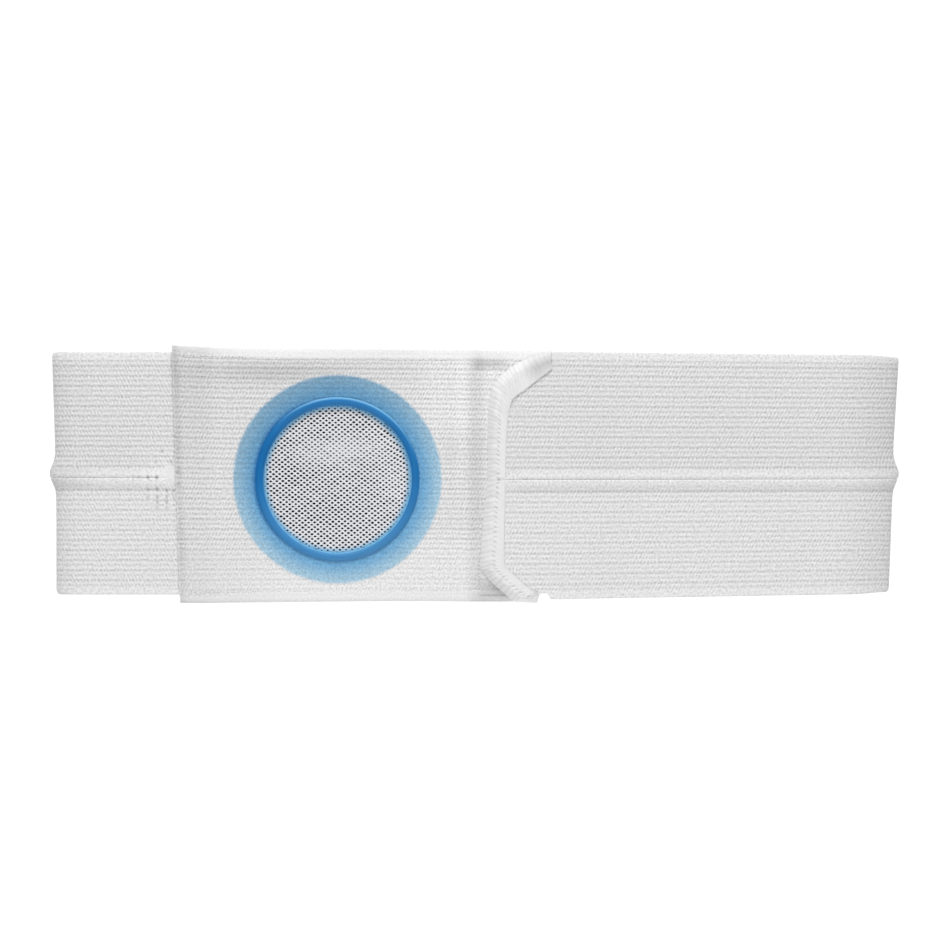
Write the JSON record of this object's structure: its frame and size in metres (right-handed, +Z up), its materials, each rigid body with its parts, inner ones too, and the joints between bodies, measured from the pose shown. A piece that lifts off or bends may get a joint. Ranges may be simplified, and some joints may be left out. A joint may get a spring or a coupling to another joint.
{
  "type": "ostomy support belt",
  "caption": "Wide elastic waist belt, fastened as a loop and laid flat, with a knitted front panel that carries a plastic ring over a mesh window.",
  "frame": {"origin": "on the surface that the belt lies on, under the middle of its footprint", "axes": "+X along the flattened loop, towards the fold beside the tab; +Y across the belt, towards its upper edge; +Z up, out of the front"},
  "size_m": [0.5364, 0.1624, 0.0168],
  "materials": {
    "web_elastic": "matte ribbed knit",
    "panel_knit": "matte ribbed knit",
    "ring_plastic": "smooth moulded, semi-gloss",
    "mesh_net": "open net",
    "hook_tape": "fine hooks",
    "binding_thread": "overlocked thread"
  },
  "bodies": {
    "root": {"upper_web": "web_elastic", "lower_web": "web_elastic", "panel": "panel_knit", "ring": "ring_plastic", "mesh_window": "mesh_net", "hook_strip": "hook_tape", "tab_binding": "binding_thread"}
  },
  "joints": []
}
